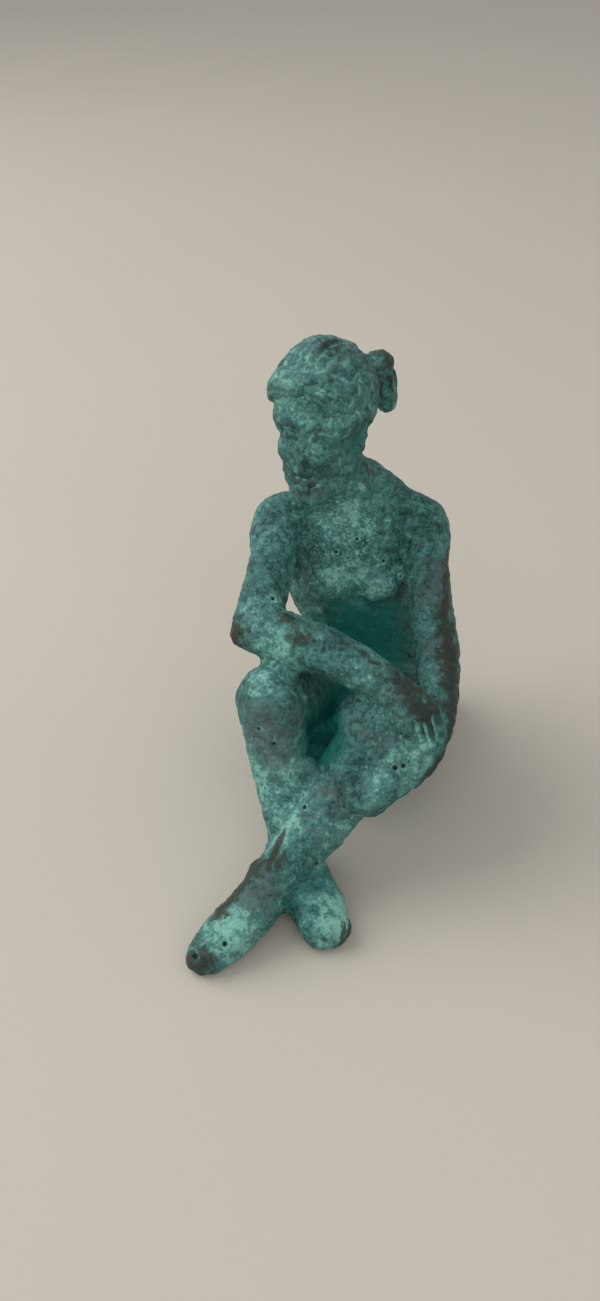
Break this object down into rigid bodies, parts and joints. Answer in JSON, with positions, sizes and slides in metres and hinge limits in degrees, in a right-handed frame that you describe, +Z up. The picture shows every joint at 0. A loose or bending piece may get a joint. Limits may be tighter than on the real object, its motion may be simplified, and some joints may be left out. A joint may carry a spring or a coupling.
{
  "type": "bronze statuette",
  "caption": "Small seated bronze figure with raised knees, crossed shins, folded arms and a ponytail, with an even verdigris patina.",
  "frame": {"origin": "middle of the flat face under the seat that the figure sits on, level with the surface that it stands on", "axes": "+Z up, the figure faces -Y, its left side is +X"},
  "size_m": [0.0785, 0.1273, 0.134],
  "materials": {
    "verdigris_bronze": "rough cast bronze under a matte blue-green patina, worn to brown metal on its ridges",
    "bare_bronze": "plain bronze rod and sheet, dull brown"
  },
  "bodies": {
    "root": {"trunk": "verdigris_bronze", "head": "verdigris_bronze", "ponytail": "verdigris_bronze", "right_arm": "verdigris_bronze", "left_arm": "verdigris_bronze", "right_hand": "verdigris_bronze", "left_hand": "verdigris_bronze", "right_leg": "verdigris_bronze", "left_leg": "verdigris_bronze", "right_foot": "verdigris_bronze", "left_foot": "verdigris_bronze", "core_plug": "bare_bronze", "core_pins": "bare_bronze", "neck_dowel": "bare_bronze", "hair_dowel": "bare_bronze", "shoulder_dowels": "bare_bronze", "hip_dowels": "bare_bronze", "wrist_dowels": "bare_bronze", "ankle_dowels": "bare_bronze", "rest_dowels": "bare_bronze"}
  },
  "joints": []
}
